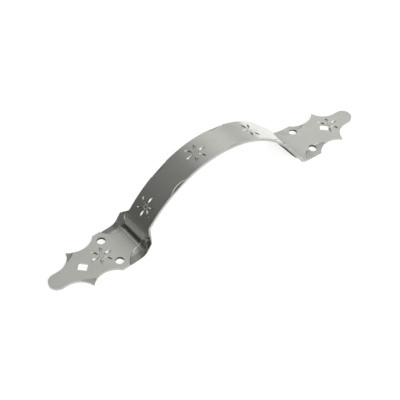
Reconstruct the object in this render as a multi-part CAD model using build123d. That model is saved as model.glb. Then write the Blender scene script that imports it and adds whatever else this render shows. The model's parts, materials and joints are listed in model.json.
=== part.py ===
from build123d import *
import math
import os

# A bow handle for a shed, gate or cupboard door, blanked from one strip of sheet steel. The strip
# carries a row of six-petalled flowers and hammer marks along both edges, and it is bent into a bow
# between two ornate fixing plates.
# Frame: Z = 0 is the back of both plates and +Z points away from the door. X runs along the handle,
# and the origin is midway between the plates on the centre line.

# Sheet and bow, the radii on the outer face
sheet_thickness = 1.8
strip_width = 30.4
bow_width = 18.6
bow_height = 43.7
crown_radius = 60.0
crown_half_angle = 30.0
leg_radius = 75.0

# Feet, where the legs turn out into the plates, with a sharper imprint in the middle of each bend
foot_bend_radius = 9.0
imprint_bend_radius = 2.5
imprint_width = 15.0
shoulder_height = 8.8
bow_root_height = 14.0
bow_root_fillet = 2.0

# Plates, lengths measured from the end of the foot bend
plate_length = 48.7
plate_corner = 9.9
plate_cusp = 28.7
plate_neck = 40.2
cusp_width = 29.0
scallop_depth = 4.4
tongue_width = 10.8
screw_hole = 5.1
screw_hole_from_foot = 7.8
screw_hole_spacing = 18.4
square_hole = 5.5
square_hole_from_foot = 26.6

# Flowers, at one pitch along the whole strip; the offset places the one nearest the middle
flower_offset = -13.1
flower_pitch = 42.0
flower_margin = 10.0
petals = 6
petal_start = 2.4
petal_length = 4.7
petal_width = 1.9
petal_depth = 0.5
seed_circle = 3.5
seed_size = 1.1

# Hammer marks, midway between the flowers, each centred outside the strip
mark_centre = 20.2
mark_radius = 12.7
mark_depth = 1.15
mark_clearance = 1.0

# Centre of the leg's arc in the side view, which runs on from the crown's arc
crown_swing = math.radians(crown_half_angle)
leg_centre_z = bow_height - crown_radius + (crown_radius - leg_radius) * math.cos(crown_swing)


def leg_tilt(height):
    """Slope of the leg, in degrees, where its outer face is at this height."""
    return math.degrees(math.acos((height - leg_centre_z) / leg_radius))


def leg_end(bend_radius):
    """Height at which the leg gives way to a foot bend of this radius."""
    share = leg_radius / (leg_radius + bend_radius)
    return leg_centre_z + share * (sheet_thickness + bend_radius - leg_centre_z)


def length_to(height):
    """Developed length from the middle of the bow to this height on the leg."""
    swing = math.radians(leg_tilt(height) - crown_half_angle)
    return crown_radius * crown_swing + leg_radius * swing


def half_edges(bend_radius):
    """Outer face in side view, from the middle of the bow to the end of the foot bend."""
    tilt = leg_tilt(leg_end(bend_radius))
    crown = JernArc((0, bow_height), (1, 0), crown_radius, -crown_half_angle)
    leg = JernArc(crown @ 1, crown % 1, leg_radius, crown_half_angle - tilt)
    bend = JernArc(leg @ 1, leg % 1, bend_radius, tilt)
    return [crown, leg, bend]


# The wings of a foot bend gently, its middle is pressed into a sharper corner
wing_line = Wire(half_edges(foot_bend_radius))
foot = wing_line @ 1
imprint_edges = half_edges(imprint_bend_radius)
imprint_bend = imprint_edges[-1]
imprint_edges.append(Line(imprint_bend @ 1, foot))
imprint_line = Wire(imprint_edges)
strip_line = Wire(imprint_edges + [Line(foot, foot + Vector(plate_length, 0))])


def strip(line, start, end, width):
    """The bent sheet between two developed lengths from the middle of the bow."""
    run = line.trim(start / line.length, end / line.length)
    section = make_face(offset(run, sheet_thickness, side=Side.RIGHT).edges())
    return extrude(Plane.XZ * section, width / 2, both=True)


def face_at(along, across):
    """Plane on the outer face at a developed length, X along the strip and Z out of the metal."""
    side = math.copysign(1, along)
    place = strip_line.position_at(abs(along), PositionMode.LENGTH)
    slope = strip_line.tangent_at(abs(along), PositionMode.LENGTH)
    return Plane(
        origin=(side * place.X, across, place.Y),
        x_dir=(slope.X, 0, side * slope.Y),
        z_dir=(-side * slope.Y, 0, slope.X),
    )


# Bow, as wide as the grip, and the shoulders that spread from it, cut square to the face of the leg
half_strip = strip_width / 2
half_bow = bow_width / 2
shoulder = length_to(shoulder_height)
bow_root = length_to(bow_root_height)
root_end = bow_root - 2 * bow_root_fillet
shoulder_side = [
    (root_end - shoulder, half_bow),
    (bow_root - shoulder, half_bow),
    (0, half_strip),
    (wing_line.length, half_strip),
]
other_side = [(along, -across) for along, across in reversed(shoulder_side)]
shoulder_outline = Polygon(shoulder_side + other_side, align=None)
roots = [place for place in shoulder_outline.vertices() if abs(place.X - bow_root + shoulder) < 0.01]
shoulder_outline = fillet(roots, bow_root_fillet)

half = strip(wing_line, 0, bow_root, bow_width)
wing = strip(wing_line, root_end, wing_line.length, strip_width)
wing &= extrude(face_at(shoulder, 0) * shoulder_outline, bow_height, both=True)
wing -= Box(4 * foot.X, imprint_width, 4 * bow_height)
half += wing
half += strip(imprint_line, root_end, imprint_line.length, imprint_width)

# Plate: straight sides, two scallops meeting in a cusp, and a round-ended tongue
corner = (foot.X + plate_corner, half_strip)
cusp = (foot.X + plate_cusp, cusp_width / 2)
neck = (foot.X + plate_neck, tongue_width / 2)
tip = foot.X + plate_length
tip_start = (tip - tongue_width / 2, tongue_width / 2)
rim = Polyline((tip, 0), (foot.X, 0), (foot.X, half_strip), corner)
rim += SagittaArc(corner, cusp, -scallop_depth)
rim += TangentArc(neck, cusp, tangent=(-1, 0))
rim += Line(neck, tip_start)
rim += RadiusArc(tip_start, (tip, 0), tongue_width / 2)
half_plate = make_face(rim.edges())
plate = half_plate + mirror(half_plate, about=Plane.XZ)
for hole_y in (-screw_hole_spacing / 2, screw_hole_spacing / 2):
    plate -= Pos(foot.X + screw_hole_from_foot, hole_y) * Circle(screw_hole / 2)
plate -= Pos(foot.X + square_hole_from_foot, 0) * Rectangle(square_hole, square_hole, rotation=45)
half += extrude(plate, sheet_thickness, dir=(0, 0, 1))

handle = half + mirror(half, about=Plane.YZ)

# One petal is a leaf-shaped groove, as a small sharp-edged wheel would leave it, one seed a cone
petal_wheel = (petal_length**2 / 4 + petal_depth**2) / (2 * petal_depth)
petal_axis = Axis((0, 0, petal_wheel - petal_depth), (0, 1, 0))
petal_swing = math.degrees(math.acos(1 - 2 * petal_depth / petal_wheel))
petal_flanks = [(0, -petal_depth), (petal_width, petal_depth), (-petal_width, petal_depth)]
petal_edge = Plane.YZ * Polygon(petal_flanks, align=None)
petal = revolve(petal_edge.rotate(petal_axis, -petal_swing), petal_axis, 2 * petal_swing)
seed = Cone(0, seed_size, seed_size)

# The row of flowers runs over the bow and both plates, as far as whole flowers fit. A petal that
# reaches into a foot bend is left out, since the imprint presses it flat.
row_end = strip_line.length - flower_margin
steps_back = int((row_end + flower_offset) // flower_pitch)
steps_on = int((row_end - flower_offset) // flower_pitch)
flowers = [flower_offset + flower_pitch * step for step in range(-steps_back, steps_on + 1)]
bend_from = length_to(leg_end(imprint_bend_radius))
bend_to = bend_from + imprint_bend.length
petal_middle = petal_start + petal_length / 2
petal_end = petal_start + petal_length
seed_ring = seed_circle / 2
hollows = []
for flower in flowers:
    for turn in range(petals):
        angle = 360 * turn / petals
        along = math.cos(math.radians(angle))
        across = math.sin(math.radians(angle))
        ends = (abs(flower + petal_start * along), abs(flower + petal_end * along))
        if max(ends) < bend_from or min(ends) > bend_to:
            place = face_at(flower + petal_middle * along, petal_middle * across)
            hollows.append(place * Rot(0, 0, angle) * petal)
        hollows.append(face_at(flower + seed_ring * along, seed_ring * across) * seed)

# A hammer mark is a segment of a large ball
mark_ball = (mark_radius**2 + mark_depth**2) / (2 * mark_depth)
mark_rise = mark_ball - mark_depth


def mark_section(short):
    """Half section across the strip at a distance along from a mark's centre, Y out of the metal."""
    ball = math.sqrt(mark_ball**2 - short**2)
    edge = math.sqrt(ball**2 - mark_rise**2)
    middle = (edge / 2, mark_rise - math.sqrt(ball**2 - edge**2 / 4))
    floor = ThreePointArc((edge, 0), middle, (0, mark_rise - ball))
    walls = Polyline((0, mark_rise - ball), (0, mark_clearance), (edge, mark_clearance), (edge, 0))
    return make_face([floor] + walls.edges())


across_strip = Plane((0, 0, 0), x_dir=(0, -1, 0), z_dir=(-1, 0, 0))
round_mark = revolve(Plane.XZ * mark_section(0), Axis.Z)
long_mark = extrude(across_strip * mark_section(0), mark_radius, both=True)
leg_length = length_to(leg_end(foot_bend_radius))


def mark_at(along):
    """A mark is long on the bow and round on a plate, and on a foot it follows the bend."""
    if along < leg_length:
        return [face_at(along, mark_centre) * long_mark]
    if along > wing_line.length:
        return [face_at(along, mark_centre) * round_mark]
    short = wing_line.length - along
    section = across_strip * mark_section(short)
    on_plate = Pos(foot.X - short, mark_centre, sheet_thickness) * round_mark
    at_foot = Pos(foot.X, mark_centre, sheet_thickness) * section
    bend_axis = Axis((foot.X, 0, sheet_thickness + foot_bend_radius), (0, 1, 0))
    return [
        split(on_plate, Plane.YZ.offset(foot.X), keep=Keep.TOP),
        revolve(at_foot, bend_axis, leg_tilt(leg_end(foot_bend_radius))),
        face_at(leg_length, mark_centre) * extrude(section, mark_radius),
    ]


for flower in flowers:
    mark = flower - flower_pitch / 2
    for tool in mark_at(abs(mark)):
        if mark < 0:
            tool = mirror(tool, about=Plane.YZ)
        hollows.append(tool)
        hollows.append(mirror(tool, about=Plane.XZ))

handle -= hollows

os.makedirs("parts", exist_ok=True)
export_step(handle, "parts/bow_handle.step")
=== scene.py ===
import json
from math import acos, asin, atan2, copysign, cos, pi, radians, sin, tan

import bpy
from mathutils import Matrix, Vector

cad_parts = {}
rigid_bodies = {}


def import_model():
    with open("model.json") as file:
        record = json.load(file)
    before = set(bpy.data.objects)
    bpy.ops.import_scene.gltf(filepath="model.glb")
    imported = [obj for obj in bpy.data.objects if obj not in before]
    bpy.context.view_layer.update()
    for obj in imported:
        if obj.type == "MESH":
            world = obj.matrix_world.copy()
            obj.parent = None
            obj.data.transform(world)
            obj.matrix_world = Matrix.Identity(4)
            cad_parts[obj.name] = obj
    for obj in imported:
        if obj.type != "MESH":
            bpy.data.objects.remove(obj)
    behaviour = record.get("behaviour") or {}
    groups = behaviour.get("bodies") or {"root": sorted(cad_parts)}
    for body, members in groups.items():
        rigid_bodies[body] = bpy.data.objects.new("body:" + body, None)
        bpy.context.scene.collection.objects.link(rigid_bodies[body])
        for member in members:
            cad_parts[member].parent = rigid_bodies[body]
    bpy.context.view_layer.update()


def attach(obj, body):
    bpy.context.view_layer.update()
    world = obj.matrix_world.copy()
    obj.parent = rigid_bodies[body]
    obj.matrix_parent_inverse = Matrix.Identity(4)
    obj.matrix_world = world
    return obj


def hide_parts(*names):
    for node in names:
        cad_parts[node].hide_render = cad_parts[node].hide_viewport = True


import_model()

# Blank: one strip of steel sheet as it leaves the blanking die, with a narrow grip between two plates
# that have scalloped sides and round tongues. Two screw holes and a square hole are punched through
# each plate. It is drawn flat, in millimetres along and across the strip, with its face at Z = 0.
sheet_thickness = 1.8
half_strip = 15.2
half_bow = 9.3
shoulder = 70.0
bow_root = 63.8
root_fillet = 2.0
edge_round = 0.22

# The bow that it will be bent into has a crown and legs of two radii on its outer face. With the nominal
# radii of a foot, in its wings and in its middle, they say where along the strip the plates begin.
bow_height = 43.7
crown_radius = 60.0
crown_half_angle = radians(30)
leg_radius = 75.0
foot_wing_radius = 9.0
foot_middle_radius = 2.5
crown_length = crown_radius * crown_half_angle
leg_x = (crown_radius - leg_radius) * sin(crown_half_angle)
leg_z = bow_height - crown_radius + (crown_radius - leg_radius) * cos(crown_half_angle)


def foot_end(radius):
    """Where a foot of this radius ends, from the middle of the bow, and the length of strip up to there."""
    tilt = acos((sheet_thickness + radius - leg_z) / (leg_radius + radius))
    length = crown_length + leg_radius * (tilt - crown_half_angle) + radius * tilt
    return leg_x + (leg_radius + radius) * sin(tilt), length


foot_x, _ = foot_end(foot_wing_radius)
middle_x, middle_length = foot_end(foot_middle_radius)
foot = middle_length + foot_x - middle_x
corner = foot + 9.9
cusp = foot + 28.7
neck = foot + 40.2
tip = foot + 48.7
half_cusp = 14.5
half_tongue = 5.4
scallop_depth = 4.4

bpy.ops.object.select_all(action="DESELECT")
bpy.ops.mesh.primitive_plane_add(size=1)
blank = bpy.context.object
blank.name = "zinc_bow_handle"
bpy.ops.object.mode_set(mode="EDIT")
bpy.ops.mesh.merge(type="CENTER")
bpy.ops.transform.translate(value=(tip, 0, 0))


def draw_line(start, end):
    """The outline goes on straight from its last point."""
    step = (end[0] - start[0], end[1] - start[1], 0)
    bpy.ops.mesh.extrude_region_move(TRANSFORM_OT_translate={"value": step})


def draw_arc(centre, turn, steps):
    """The outline goes on round a centre, clockwise where the turn is positive."""
    bpy.ops.mesh.spin(steps=steps, angle=turn, center=(*centre, 0), axis=(0, 0, 1))


# One quarter of the outline, from the tip of a tongue to the middle of the grip
tip_start = (tip - half_tongue, -half_tongue)
draw_arc((tip - half_tongue, 0), pi / 2, 16)
draw_line(tip_start, (neck, -half_tongue))
neck_run = neck - cusp
neck_rise = half_cusp - half_tongue
neck_radius = (neck_run**2 + neck_rise**2) / (2 * neck_rise)
neck_turn = atan2(neck_run, neck_radius - neck_rise)
draw_arc((neck, -half_tongue - neck_radius), -neck_turn, 20)
chord = Vector((corner - cusp, half_cusp - half_strip))
scallop_radius = (chord.length**2 / 4 + scallop_depth**2) / (2 * scallop_depth)
scallop_turn = 2 * asin(chord.length / 2 / scallop_radius)
chord_middle = Vector(((corner + cusp) / 2, -(half_strip + half_cusp) / 2))
outwards = Vector((-chord.y, chord.x)).normalized()
scallop_centre = chord_middle + outwards * (scallop_radius - scallop_depth)
draw_arc(tuple(scallop_centre), -scallop_turn, 28)
draw_line((corner, -half_strip), (shoulder, -half_strip))
slope = Vector((bow_root - shoulder, half_strip - half_bow)).normalized()
slope_turn = atan2(slope.y, -slope.x)
fillet_reach = root_fillet * tan(slope_turn / 2)
slope_end = Vector((bow_root, -half_bow)) - slope * fillet_reach
draw_line((shoulder, -half_strip), tuple(slope_end))
draw_arc((bow_root - fillet_reach, -half_bow - root_fillet), -slope_turn, 8)
draw_line((bow_root - fillet_reach, -half_bow), (0, -half_bow))
bpy.ops.object.mode_set(mode="OBJECT")

other_quarters = blank.modifiers.new("other_quarters", "MIRROR")
other_quarters.use_axis = (True, True, False)
other_quarters.merge_threshold = 0.001
bpy.ops.object.modifier_apply(modifier=other_quarters.name)
bpy.ops.object.mode_set(mode="EDIT")
bpy.ops.mesh.select_all(action="SELECT")
bpy.ops.mesh.edge_face_add()
bpy.ops.mesh.extrude_region_move(TRANSFORM_OT_translate={"value": (0, 0, -sheet_thickness)})
bpy.ops.mesh.select_all(action="SELECT")
bpy.ops.mesh.normals_make_consistent(inside=False)
bpy.ops.object.mode_set(mode="OBJECT")


def hold_blank():
    """Makes the blank the one object that is worked on."""
    bpy.ops.object.select_all(action="DESELECT")
    blank.select_set(True)
    bpy.context.view_layer.objects.active = blank


def cut(tool):
    """Takes the tool's shape out of the blank and puts the tool away."""
    hold_blank()
    die = blank.modifiers.new("die", "BOOLEAN")
    die.operation = "DIFFERENCE"
    die.solver = "EXACT"
    die.object = tool
    bpy.ops.object.modifier_apply(modifier=die.name)
    bpy.data.objects.remove(tool)


def new_tool(add, **sizes):
    """A tool that starts as one primitive, open for editing."""
    bpy.ops.object.select_all(action="DESELECT")
    add(**sizes)
    bpy.ops.object.mode_set(mode="EDIT")
    bpy.ops.mesh.select_mode(type="VERT")
    return bpy.context.object


# Punches for the holes of one plate, then the same for the other plate
screw_hole = 2.55
screw_hole_along = foot + 7.8
screw_hole_across = 9.2
square_hole = 5.5
square_hole_along = foot + 26.6
for end in (-1, 1):
    punches = new_tool(
        bpy.ops.mesh.primitive_cube_add, size=square_hole, rotation=(0, 0, pi / 4),
        location=(end * square_hole_along, 0, 0),
    )
    bpy.ops.object.mode_set(mode="OBJECT")
    bpy.ops.object.transform_apply()
    bpy.ops.object.mode_set(mode="EDIT")
    for side in (-1, 1):
        place = (end * screw_hole_along, side * screw_hole_across, 0)
        bpy.ops.mesh.primitive_cylinder_add(
            vertices=56, radius=screw_hole, depth=square_hole, location=place,
        )
    bpy.ops.object.mode_set(mode="OBJECT")
    cut(punches)

rim = blank.modifiers.new("rim", "BEVEL")
rim.limit_method = "ANGLE"
rim.angle_limit = radians(40)
rim.width = edge_round
rim.segments = 2
bpy.ops.object.modifier_apply(modifier=rim.name)

# Flower stamps: six leaf-shaped pockets with slanted walls round a ring of six dots, rolled into the
# strip at one pitch
flowers = 6
flower_offset = -13.1
flower_pitch = 42.0
petal_start = 2.0
petal_length = 4.9
petal_half_width = 0.88
petal_depth = 0.68
petal_floor_length = 4.0
petal_floor_half_width = 0.26
seed_ring = 1.38
seed_radius = 0.42
seed_depth = 0.5
stamp_top = 0.05
petal_middle = petal_start + petal_length / 2
leaf_half_length = petal_length / 2 + stamp_top
leaf_half_width = petal_half_width + stamp_top
leaf_radius = (leaf_half_length**2 + leaf_half_width**2) / (2 * leaf_half_width)
leaf_turn = 2 * asin(leaf_half_length / leaf_radius)
flower = new_tool(bpy.ops.mesh.primitive_plane_add, size=1)
bpy.ops.mesh.merge(type="CENTER")
bpy.ops.transform.translate(value=(petal_middle - leaf_half_length, 0, stamp_top))
for side in (-1, 1):
    leaf_centre = (petal_middle, side * (leaf_radius - leaf_half_width), stamp_top)
    bpy.ops.mesh.spin(steps=14, angle=leaf_turn, center=leaf_centre, axis=(0, 0, 1))
bpy.ops.mesh.select_all(action="SELECT")
bpy.ops.mesh.remove_doubles(threshold=0.001)
bpy.ops.mesh.edge_face_add()
bpy.ops.mesh.extrude_region_move(TRANSFORM_OT_translate={"value": (0, 0, -stamp_top - petal_depth)})
floor_share = (petal_floor_length / 2 / leaf_half_length, petal_floor_half_width / leaf_half_width, 1)
bpy.ops.transform.resize(value=floor_share, center_override=(petal_middle, 0, 0))
bpy.ops.mesh.select_all(action="SELECT")
bpy.ops.mesh.normals_make_consistent(inside=False)
seed_top = seed_radius * (seed_depth + stamp_top) / seed_depth
bpy.ops.mesh.primitive_cone_add(
    vertices=24, radius1=0, radius2=seed_top, depth=seed_depth + stamp_top,
    location=(seed_ring, 0, (stamp_top - seed_depth) / 2),
)
bpy.ops.mesh.select_all(action="SELECT")
bpy.ops.mesh.spin(steps=5, angle=radians(300), dupli=True, center=(0, 0, 0), axis=(0, 0, 1))
bpy.ops.mesh.select_all(action="SELECT")
bpy.ops.transform.translate(value=(flower_offset - 2 * flower_pitch, 0, 0))
bpy.ops.object.mode_set(mode="OBJECT")


def repeat_along(tool):
    """Repeats the tool at the flowers' pitch."""
    row = tool.modifiers.new("row", "ARRAY")
    row.count = flowers
    row.use_relative_offset = False
    row.use_constant_offset = True
    row.constant_offset_displace = (flower_pitch, 0, 0)
    bpy.ops.object.modifier_apply(modifier=row.name)


repeat_along(flower)

# One petal runs into the sharp corner of a foot, which presses it flat
last_flower = flower_offset + 2 * flower_pitch
bpy.ops.object.mode_set(mode="EDIT")
bpy.ops.mesh.select_all(action="DESELECT")
bpy.ops.object.mode_set(mode="OBJECT")
for point in flower.data.vertices:
    along = point.co.x - last_flower
    point.select = petal_middle < along < petal_middle + petal_length and abs(point.co.y) < 1
bpy.ops.object.mode_set(mode="EDIT")
bpy.ops.mesh.select_linked()
bpy.ops.mesh.delete(type="VERT")
bpy.ops.object.mode_set(mode="OBJECT")
cut(flower)

# Hammer marks: a round-faced punch bites into both edges of the strip midway between the flowers, and
# leaves a shallow hollow with a steep rim
mark_across = 20.2
mark_radius = 12.7
mark_depth = 1.15
mark_rim_depth = 0.28
mark_rim_width = 0.42
hollow_radius = mark_radius - mark_rim_width
hollow_depth = mark_depth - mark_rim_depth
ball = (hollow_radius**2 + hollow_depth**2) / (2 * hollow_depth)
ball_swing = asin(hollow_radius / ball)
rim_out = mark_rim_width * (mark_rim_depth + stamp_top) / mark_rim_depth
mark = new_tool(bpy.ops.mesh.primitive_plane_add, size=1)
bpy.ops.mesh.merge(type="CENTER")
bpy.ops.transform.translate(value=(0, 0, -mark_depth))
bpy.ops.mesh.spin(steps=20, angle=ball_swing, center=(0, 0, ball - mark_depth), axis=(0, 1, 0))
mark.update_from_editmode()
lip = max(mark.data.vertices, key=lambda point: abs(point.co.x)).co
rim_step = (copysign(rim_out, lip.x), 0, stamp_top + mark_rim_depth)
bpy.ops.mesh.extrude_region_move(TRANSFORM_OT_translate={"value": rim_step})
bpy.ops.mesh.select_all(action="SELECT")
bpy.ops.mesh.spin(steps=110, angle=2 * pi, center=(0, 0, 0), axis=(0, 0, 1))
bpy.ops.mesh.select_all(action="SELECT")
bpy.ops.mesh.remove_doubles(threshold=0.001)
bpy.ops.mesh.select_all(action="DESELECT")
bpy.ops.mesh.select_non_manifold()
bpy.ops.mesh.edge_face_add()
bpy.ops.mesh.select_all(action="SELECT")
bpy.ops.mesh.normals_make_consistent(inside=False)
bpy.ops.transform.translate(value=(flower_offset - 2.5 * flower_pitch, -mark_across, 0))
bpy.ops.object.mode_set(mode="OBJECT")
repeat_along(mark)

# The mark on a foot runs over the edge of the strip, which is drawn down there. Its rim fades out towards
# the tongue.
foot_mark = flower_offset - 1.5 * flower_pitch
edge_roll_from = 10.0
edge_roll_width = 1.5
edge_slope = 0.19
rim_fade_from = 4.0
rim_fade_width = 4.0
rim_fade_most = 0.75
leg_fade_width = 3.0
leg_roll = 0.027


def clamped(value):
    """The value, held between 0 and 1."""
    return min(max(value, 0), 1)


for point in mark.data.vertices:
    from_rim = hollow_radius - Vector((point.co.x - foot_mark, point.co.y + mark_across)).length
    if from_rim > -0.01 and point.co.z < 0:
        run = max(-point.co.y - edge_roll_from, 0)
        roll = run**2 / (2 * edge_roll_width) if run < edge_roll_width else run - edge_roll_width / 2
        rim_fade = rim_fade_most * clamped((foot_mark - point.co.x - rim_fade_from) / rim_fade_width)
        leg_fade = clamped((foot_mark - point.co.x + leg_fade_width) / leg_fade_width)
        drop = leg_fade * edge_slope * roll + (1 - leg_fade) * leg_roll * run**2
        point.co.z = -mark_rim_depth * (1 - rim_fade) - drop

other_edge = mark.modifiers.new("other_edge", "MIRROR")
other_edge.use_axis = (False, True, False)
bpy.ops.object.modifier_apply(modifier=other_edge.name)
cut(mark)

# Lines across the strip where it will bend, closest in the sharp corner of a foot, and lines along it
# where the middle of a foot is pressed deeper than its wings. A run of lines has a first and a last one
# and a gap. The plate settles to flat beyond the end of the foot.
bend_runs = ((0, 60, 2), (61, 75.1, 0.35), (75.3, 80, 0.14), (80.3, 91.9, 0.5))
settle = 8.5
press_line_from = 7.25
press_line_gap = 0.25
press_lines = 32
bend_lines = []
for first, last, gap in bend_runs:
    bend_lines += [first + gap * count for count in range(int((last - first) / gap) + 1)]
bpy.ops.object.mode_set(mode="EDIT")
for line in bend_lines:
    for end in (-1, 1):
        bpy.ops.mesh.select_all(action="SELECT")
        bpy.ops.mesh.bisect(plane_co=(end * line, 0, 0), plane_no=(1, 0, 0), threshold=0.0001)
bpy.ops.object.mode_set(mode="OBJECT")


def score(wanted, place, square_to_line):
    """Draws a line on the wanted faces of the blank."""
    bpy.ops.object.mode_set(mode="EDIT")
    bpy.ops.mesh.select_mode(type="FACE")
    bpy.ops.mesh.select_all(action="DESELECT")
    bpy.ops.object.mode_set(mode="OBJECT")
    for face in blank.data.polygons:
        face.select = wanted(face.center)
    bpy.ops.object.mode_set(mode="EDIT")
    bpy.ops.mesh.bisect(plane_co=place, plane_no=square_to_line, threshold=0.0001)
    bpy.ops.object.mode_set(mode="OBJECT")


def on_foot(centre):
    """Whether a face lies on a foot."""
    return bow_root < abs(centre.x) < foot + settle


for count in range(press_lines):
    for side in (-1, 1):
        score(on_foot, (0, side * (press_line_from + count * press_line_gap), 0), (0, 1, 0))


# Bending: the crown and the legs are two arcs, and each foot turns out into its plate with a plain
# corner in both wings. Between them a punch presses a steep flat facet into the face, with a tight
# corner against the plate. The plate rises a little towards that corner.
def bow_line(along):
    """Place and tilt of the outer face in side view, at a length from the middle of the bow."""
    if along < crown_length:
        turn = along / crown_radius
        return crown_radius * sin(turn), bow_height - crown_radius * (1 - cos(turn)), turn
    turn = crown_half_angle + (along - crown_length) / leg_radius
    return leg_x + leg_radius * sin(turn), leg_z + leg_radius * cos(turn), turn


def foot_line(along, start, pieces):
    """The same below the start of a foot, where pieces of some length each end at some tilt."""
    x, z, turn = bow_line(min(along, start))
    rest = along - start
    for length, end_turn in pieces:
        run = min(max(rest, 0), length)
        step = (end_turn - turn) * run / length if length else 0
        middle = turn + step / 2
        chord = run * sin(step / 2) / (step / 2) if step else run
        x += chord * cos(middle)
        z -= chord * sin(middle)
        turn += step
        rest -= length
    return x + max(rest, 0), z, turn


def foot_shape(start, upper, tilt, lower):
    """A foot's start, pieces, end of the steep part and stretch; the steep part comes down to the plate."""
    before = start + sum(length for length, _ in upper)
    after = sum(length for length, _ in lower)
    fall = foot_line(before + after, start, upper + [(0, tilt)] + lower)[1] - sheet_thickness
    steep = fall / sin(tilt)
    pieces = upper + [(steep, tilt)] + lower
    end = before + steep + after
    line_end = end + foot_x + settle - foot_line(end, start, pieces)[0]
    return start, pieces, before + steep, (line_end - bow_root) / (foot + settle - bow_root)


# Three such lines: the wings, the back of the pressed middle and its face
wing_start = 66.0
wing_bend = 1.5
wing_tilt = radians(55.5)
wing_corner = [(3.2, radians(10)), (4, radians(5)), (8, 0)]
wing = foot_shape(wing_start, [(wing_bend, wing_tilt)], wing_tilt, wing_corner)
back_tilt = radians(60.4)
back_corner = 1.8
corner_end_tilt = radians(15)
plate_rise = [(1.5, radians(13)), (3, radians(7.5)), (4.5, radians(4.2)), (5.5, 0)]
back_lower = [(back_corner, corner_end_tilt)] + plate_rise
back = foot_shape(wing_start, [(wing_bend, back_tilt)], back_tilt, back_lower)
press_start = 68.9
facet_top = 72.3
press_bend = 1.6
facet_bend = 0.65
press_flat = facet_top - press_start - press_bend - facet_bend
press_tilt = radians(62.5)
facet_tilt = radians(73)
tight_corner = 0.9
press_upper = [(press_bend, press_tilt), (press_flat, press_tilt), (facet_bend, facet_tilt)]
press_lower = [(tight_corner, corner_end_tilt)] + plate_rise
press = foot_shape(press_start, press_upper, facet_tilt, press_lower)


def stretched(along, stretch):
    """A length on the blank as a length on the bent line."""
    if along < bow_root:
        return along
    return bow_root + (min(along, foot + settle) - bow_root) * stretch + max(along - foot - settle, 0)


# Lines along the slanting border of the press, which ends in a low step
punch_half_width = 7.5
press_top_half_width = 11.5
step_top = 66.8
back_step_height = 0.45
front_step_height = 0.22
step_width = 0.75
step_lines = 3
step_fall = 2.5
facet_end, press_stretch = press[2:]
border_end = bow_root + (facet_top - bow_root) / press_stretch
border_top = bow_root + (step_top - bow_root) / press_stretch
border_spread = press_top_half_width - punch_half_width
above_border = 1.0
below_border = 0.3
inside_border = 1.5


def near_border(centre, end, side):
    """Whether a face lies near one border of the press, on the face of the sheet."""
    beside = border_top - above_border < end * centre.x < border_end + below_border
    outside = side * centre.y > punch_half_width - inside_border
    return beside and outside and centre.z > -sheet_thickness / 2


for count in range(step_lines + 1):
    for end in (-1, 1):
        for side in (-1, 1):
            border_place = (end * border_end, side * (punch_half_width + count * step_width / step_lines), 0)
            square_to_border = (side * border_spread, end * (border_end - border_top), 0)
            score(lambda centre: near_border(centre, end, side), border_place, square_to_border)

# The sheared walls are rougher than the face, and roughest in the screw holes. They are also darker, partly
# in their own duller tone and partly by painted shade, which is strongest in the screw holes.
wall_lean = 0.35
hole_reach = screw_hole + 0.1
sheared_and_shaded = blank.data.attributes.new("sheared_and_shaded", "FLOAT", "FACE")
for face in blank.data.polygons:
    if abs(face.normal.z) < wall_lean:
        from_hole = (abs(face.center.x) - screw_hole_along, abs(face.center.y) - screw_hole_across)
        sheared_and_shaded.data[face.index].value = 2.0 if Vector(from_hole).length < hole_reach else 1.0

# The press fades out into the wings. Higher up the leg it is wider and ends in a low step. The edge of the
# punch nips a fine groove into the plate beside the corner. The facets get painted shade, a darker base
# colour, and the wings of the near foot less of it.
press_fade = 7.6
press_top_fade = 0.8
nip_from_corner = 0.4
nip = facet_end + tight_corner + nip_from_corner
nip_width = 0.9
nip_depth = 0.1
step_run_in = 0.25
near_wing_shade = 0.6
shade_overlap = 0.05
# Painted shade in the base colour: full on the facets, less on the wings of the near foot
facet_shade = blank.data.attributes.new("painted_shade", "FLOAT", "POINT")
for point in blank.data.vertices:
    along, across, depth = abs(point.co.x), point.co.y, -point.co.z
    press_along = stretched(along, press_stretch)
    rise = clamped((facet_top - press_along) / (facet_top - step_top))
    press_edge = punch_half_width + border_spread * rise
    fade_width = press_fade + (press_top_fade - press_fade) * rise
    share = clamped((abs(across) - press_edge) / fade_width)
    middle = back
    if depth < sheet_thickness / 2:
        middle = press
        step = clamped((abs(across) - press_edge) / step_width)
        fall = clamped((abs(across) - press_edge - step_width) / step_fall)
        lift = back_step_height if across > 0 else front_step_height
        lift *= min(rise / step_run_in, (1 - rise) / step_run_in, 1)
        depth -= lift * step**2 * (3 - 2 * step) * (1 - fall)
        if abs(press_along - nip) < nip_width:
            depth -= (1 - share) * nip_depth * sin(pi * (press_along - nip) / nip_width)
        if step_top < press_along < facet_end:
            if abs(across) > press_edge + step_width - shade_overlap:
                facet_shade.data[point.index].value = near_wing_shade if point.co.x < 0 else 0
            elif press_along > facet_top:
                facet_shade.data[point.index].value = 1
    bent = Vector((0, 0))
    for line, weight in ((middle, 1 - share), (wing, share)):
        start, pieces, _, stretch = line
        x, z, turn = foot_line(stretched(along, stretch), start, pieces)
        bent += weight * Vector((x - depth * sin(turn), z - depth * cos(turn)))
    point.co = Vector((copysign(bent.x, point.co.x), across, bent.y)) / 1000

hold_blank()
bpy.ops.object.shade_smooth_by_angle(angle=radians(14))
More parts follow.
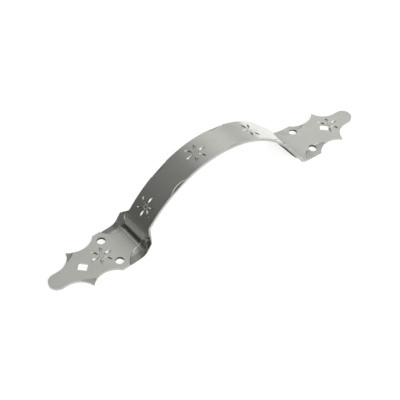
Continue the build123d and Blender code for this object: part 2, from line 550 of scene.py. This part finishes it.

# Finish: bright zinc plate over rolled steel, satin, with faint rolling lines along the strip and a little
# cloudiness. The pressed facets, and less so the wings of the near foot, are darkened by painted shade. The
# sheared walls are rougher, and darker, partly in their own tone and partly by painted shade, which is
# strongest in the screw holes.
zinc = bpy.data.materials.new("satin_zinc_plate")
zinc.use_nodes = True
nodes = zinc.node_tree.nodes
links = zinc.node_tree.links
skin = nodes["Principled BSDF"]
skin.inputs["Metallic"].default_value = 1.0
spot = nodes.new("ShaderNodeTexCoord")
clouds = nodes.new("ShaderNodeTexNoise")
clouds.inputs["Scale"].default_value = 90
clouds.inputs["Detail"].default_value = 5
links.new(spot.outputs["Object"], clouds.inputs["Vector"])
tone = nodes.new("ShaderNodeValToRGB")
tone.color_ramp.elements[0].position = 0.3
tone.color_ramp.elements[0].color = (0.82, 0.825, 0.765, 1)
tone.color_ramp.elements[1].position = 0.7
tone.color_ramp.elements[1].color = (0.88, 0.885, 0.825, 1)
links.new(clouds.outputs["Fac"], tone.inputs["Fac"])
# The painted shade of the facets and the near foot's wings darkens the base colour
painted_shade = nodes.new("ShaderNodeAttribute")
painted_shade.attribute_name = "painted_shade"
wall_and_shade = nodes.new("ShaderNodeAttribute")
wall_and_shade.attribute_name = "sheared_and_shaded"
shade_fade = nodes.new("ShaderNodeMapRange")
shade_fade.inputs["To Min"].default_value = 1.0
shade_fade.inputs["To Max"].default_value = 0.38
links.new(painted_shade.outputs["Fac"], shade_fade.inputs["Value"])
# The sheared walls' darkening is partly their own tone and partly painted shade, most in the screw holes
wall_shade_fade = nodes.new("ShaderNodeMapRange")
wall_shade_fade.inputs["From Max"].default_value = 2.0
wall_shade_fade.inputs["To Min"].default_value = 1.0
wall_shade_fade.inputs["To Max"].default_value = 0.36
links.new(wall_and_shade.outputs["Fac"], wall_shade_fade.inputs["Value"])
fade = nodes.new("ShaderNodeMath")
fade.operation = "MULTIPLY"
links.new(shade_fade.outputs["Result"], fade.inputs[0])
links.new(wall_shade_fade.outputs["Result"], fade.inputs[1])
faded = nodes.new("ShaderNodeVectorMath")
faded.operation = "SCALE"
links.new(tone.outputs["Color"], faded.inputs["Vector"])
links.new(fade.outputs["Value"], faded.inputs["Scale"])
links.new(faded.outputs["Vector"], skin.inputs["Base Color"])
sheen = nodes.new("ShaderNodeMapRange")
sheen.inputs["To Min"].default_value = 0.11
sheen.inputs["To Max"].default_value = 0.17
links.new(clouds.outputs["Fac"], sheen.inputs["Value"])
rough = nodes.new("ShaderNodeMath")
rough.operation = "MULTIPLY_ADD"
rough.inputs[1].default_value = 0.3
links.new(wall_and_shade.outputs["Fac"], rough.inputs[0])
links.new(sheen.outputs["Result"], rough.inputs[2])
links.new(rough.outputs["Value"], skin.inputs["Roughness"])
drawn_out = nodes.new("ShaderNodeMapping")
drawn_out.inputs["Scale"].default_value = (40, 2500, 40)
links.new(spot.outputs["Object"], drawn_out.inputs["Vector"])
roll_lines = nodes.new("ShaderNodeTexNoise")
roll_lines.inputs["Scale"].default_value = 1
roll_lines.inputs["Detail"].default_value = 3
links.new(drawn_out.outputs["Vector"], roll_lines.inputs["Vector"])
rolled = nodes.new("ShaderNodeBump")
rolled.inputs["Strength"].default_value = 0.06
rolled.inputs["Distance"].default_value = 0.0002
links.new(roll_lines.outputs["Fac"], rolled.inputs["Height"])
links.new(rolled.outputs["Normal"], skin.inputs["Normal"])
blank.data.materials.append(zinc)

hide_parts("bow_handle")
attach(blank, "root")

# Floor: a plain white table top on which the handle lies with its plates down. It is white to the
# camera and in the metal, and keeps a soft shadow.
floor_height = -0.0002
bpy.ops.object.select_all(action="DESELECT")
bpy.ops.mesh.primitive_circle_add(vertices=64, radius=3, fill_type="NGON", location=(0, 0, floor_height))
floor = bpy.context.object
floor.name = "white_floor"
white = bpy.data.materials.new("white_table")
white.use_nodes = True
nodes = white.node_tree.nodes
links = white.node_tree.links
nodes.remove(nodes["Principled BSDF"])
matt = nodes.new("ShaderNodeBsdfDiffuse")
matt.inputs["Color"].default_value = (0.85, 0.85, 0.85, 1)
glow = nodes.new("ShaderNodeEmission")
rays = nodes.new("ShaderNodeLightPath")
seen = nodes.new("ShaderNodeMath")
seen.operation = "MAXIMUM"
links.new(rays.outputs["Is Camera Ray"], seen.inputs[0])
links.new(rays.outputs["Is Transmission Ray"], seen.inputs[1])
in_metal = nodes.new("ShaderNodeMath")
in_metal.operation = "MULTIPLY"
in_metal.inputs[1].default_value = 0.64
links.new(rays.outputs["Is Glossy Ray"], in_metal.inputs[0])
level = nodes.new("ShaderNodeMath")
level.operation = "MULTIPLY_ADD"
level.inputs[1].default_value = 0.76
links.new(seen.outputs["Value"], level.inputs[0])
links.new(in_metal.outputs["Value"], level.inputs[2])
links.new(level.outputs["Value"], glow.inputs["Strength"])
both = nodes.new("ShaderNodeAddShader")
links.new(matt.outputs["BSDF"], both.inputs[0])
links.new(glow.outputs["Emission"], both.inputs[1])
links.new(both.outputs["Shader"], nodes["Material Output"].inputs["Surface"])
floor.data.materials.append(white)

# Shade cards: dark cards on the table, kept out of the picture and seen only in the metal, where they are
# painted shade. Grey ones lie behind the handle, for the dimmer far table, and under its bow, for the shade
# there. A small black one lies in each screw hole, where it stands for the shade in the hole and darkens the
# wall on the right. Each has a place, a width, a depth and a turn.
flags = {
    "back_shade_card": (-0.566, 0.608, 1.268, 1.184, 0),
    "bow_shade_card": (0.003, 0.0035, 0.13, 0.025, 0),
}
flag_height = -0.0001
view_turn = radians(-39.385)
hole_card_shift = 0.0012
hole_card_size = (0.0028, 0.0052)
hole_x = (foot_x + screw_hole_along - foot) / 1000
hole_y = screw_hole_across / 1000
for end in (-1, 1):
    for side in (-1, 1):
        card_x = end * hole_x + hole_card_shift * cos(view_turn)
        card_y = side * hole_y + hole_card_shift * sin(view_turn)
        flags[f"hole_flag_{len(flags)}"] = (card_x, card_y, *hole_card_size, view_turn)
cards = {}
# Grey and black paint for the cards that are painted shade in the metal
for name, shade in (("grey_shade_card", 0.6), ("black_shade_card", 0.03)):
    card = bpy.data.materials.new(name)
    card.use_nodes = True
    paint = card.node_tree.nodes["Principled BSDF"]
    paint.inputs["Base Color"].default_value = (shade, shade, shade, 1)
    paint.inputs["Roughness"].default_value = 0.9
    cards[name] = card
for name, (flag_x, flag_y, flag_width, flag_depth, flag_turn) in flags.items():
    bpy.ops.object.select_all(action="DESELECT")
    bpy.ops.mesh.primitive_plane_add(size=1, rotation=(0, 0, flag_turn))
    flag = bpy.context.object
    flag.name = name
    flag.location = (flag_x, flag_y, flag_height)
    flag.scale = (flag_width, flag_depth, 1)
    flag.visible_camera = False
    flag.visible_diffuse = False
    flag.visible_shadow = False
    flag.data.materials.append(cards["black_shade_card" if name.startswith("hole") else "grey_shade_card"])

# Light tent: a large soft dome of cloth round the table. A long panel behind the handle is bright on
# the right and falls off to the left. The front is bright too, but dimmer in the middle, with a lamp to
# the right of it, and the top is dim.
tent_radius = 2.8
bpy.ops.object.select_all(action="DESELECT")
bpy.ops.mesh.primitive_uv_sphere_add(segments=64, ring_count=32, radius=tent_radius)
tent = bpy.context.object
tent.name = "light_tent"
tent.visible_camera = False
bpy.ops.object.shade_smooth()
cloth = bpy.data.materials.new("tent_cloth")
cloth.use_nodes = True
nodes = cloth.node_tree.nodes
links = cloth.node_tree.links
nodes.remove(nodes["Principled BSDF"])
spot = nodes.new("ShaderNodeTexCoord")
part = nodes.new("ShaderNodeSeparateXYZ")
links.new(spot.outputs["Object"], part.inputs["Vector"])


def tent_ramp(axis, stops):
    """Brightness of the cloth along one axis, at places from -1 to 1 of its radius. The ends come first."""
    span = nodes.new("ShaderNodeMapRange")
    span.inputs["From Min"].default_value = -tent_radius
    span.inputs["From Max"].default_value = tent_radius
    links.new(part.outputs[axis], span.inputs["Value"])
    ramp = nodes.new("ShaderNodeValToRGB")
    links.new(span.outputs["Result"], ramp.inputs["Fac"])
    for count, (position, value) in enumerate(stops):
        if count < 2:
            stop = ramp.color_ramp.elements[count]
            stop.position = (position + 1) / 2
        else:
            stop = ramp.color_ramp.elements.new((position + 1) / 2)
        stop.color = (value, value, value, 1)
    return ramp.outputs["Color"]


along_panel = tent_ramp("X", (
    (-1, 0.09), (1, 1.0), (-0.83, 0.1), (-0.73, 0.14), (-0.5, 0.19), (-0.14, 0.245), (0, 0.33),
    (0.22, 0.475), (0.306, 0.515), (0.43, 0.58), (0.556, 0.62), (0.65, 0.6), (0.744, 0.52), (0.82, 0.55),
    (0.9, 0.72),
))
across_panel = tent_ramp("Y", (
    (-0.2, 0), (1, 0.25), (0.05, 0.15), (0.24, 0.65), (0.4, 0.95), (0.53, 1), (0.6, 0.95), (0.72, 0.65),
    (0.85, 0.35),
))
front = tent_ramp("Y", ((-0.8, 1.0), (-0.1, 0), (-0.5, 0.65), (-0.25, 0.2)))
front_right = tent_ramp("X", ((-0.3, 0.7), (0.25, 1), (-0.08, 0.35), (0.06, 0.35)))
front_low = tent_ramp("Z", ((0.25, 1), (0.6, 0)))
front_window = nodes.new("ShaderNodeVectorMath")
front_window.operation = "MAXIMUM"
links.new(front_right, front_window.inputs[0])
links.new(front_low, front_window.inputs[1])
front_cloth = nodes.new("ShaderNodeVectorMath")
front_cloth.operation = "MULTIPLY"
links.new(front, front_cloth.inputs[0])
links.new(front_window.outputs["Vector"], front_cloth.inputs[1])
side_lamp = nodes.new("ShaderNodeVectorMath")
side_lamp.operation = "MULTIPLY"
links.new(tent_ramp("X", ((0.25, 0), (0.4, 0.5))), side_lamp.inputs[0])
links.new(tent_ramp("Y", ((-0.45, 0), (-0.1, 0), (-0.34, 1), (-0.17, 1))), side_lamp.inputs[1])
front_panel = nodes.new("ShaderNodeVectorMath")
front_panel.operation = "MAXIMUM"
links.new(front_cloth.outputs["Vector"], front_panel.inputs[0])
links.new(side_lamp.outputs["Vector"], front_panel.inputs[1])
panel = nodes.new("ShaderNodeVectorMath")
panel.operation = "MULTIPLY"
links.new(along_panel, panel.inputs[0])
links.new(across_panel, panel.inputs[1])
lowest = nodes.new("ShaderNodeVectorMath")
lowest.operation = "MAXIMUM"
lowest.inputs[1].default_value = (0.06, 0.06, 0.06)
links.new(panel.outputs["Vector"], lowest.inputs[0])
back_light = nodes.new("ShaderNodeEmission")
links.new(lowest.outputs["Vector"], back_light.inputs["Color"])
front_light = nodes.new("ShaderNodeEmission")
front_light.inputs["Strength"].default_value = 1.2
links.new(front_panel.outputs["Vector"], front_light.inputs["Color"])
both = nodes.new("ShaderNodeAddShader")
links.new(back_light.outputs["Emission"], both.inputs[0])
links.new(front_light.outputs["Emission"], both.inputs[1])
links.new(both.outputs["Shader"], nodes["Material Output"].inputs["Surface"])
tent.data.materials.append(cloth)

world = bpy.data.worlds.new("white_room")
bpy.context.scene.world = world
world.use_nodes = True
world.node_tree.nodes["Background"].inputs["Color"].default_value = (1, 1, 1, 1)
world.node_tree.nodes["Background"].inputs["Strength"].default_value = 1

# Camera: it stands to the left in front of the handle and high above it, with a long lens, a slight roll
# and a small shift
azimuth = view_turn
elevation = radians(47.202)
camera_roll = radians(1.048)
distance = 0.587874
shift_right = -0.007052
shift_up = -0.004806
aim_height = sheet_thickness / 1000
outward = Vector((sin(azimuth) * cos(elevation), -cos(azimuth) * cos(elevation), sin(elevation)))
level_right = Vector((0, 0, 1)).cross(outward).normalized()
level_up = outward.cross(level_right)
right = level_right * cos(camera_roll) + level_up * sin(camera_roll)
up = level_up * cos(camera_roll) - level_right * sin(camera_roll)
camera_data = bpy.data.cameras.new("photo_camera")
camera_data.lens = 88.198
camera_data.sensor_width = 36
camera = bpy.data.objects.new("photo_camera", camera_data)
bpy.context.collection.objects.link(camera)
stand = outward * distance + right * shift_right + up * shift_up + Vector((0, 0, aim_height))
camera.matrix_world = Matrix.Translation(stand) @ Matrix((right, up, outward)).transposed().to_4x4()
bpy.context.scene.camera = camera
bpy.context.scene.view_settings.view_transform = "Standard"
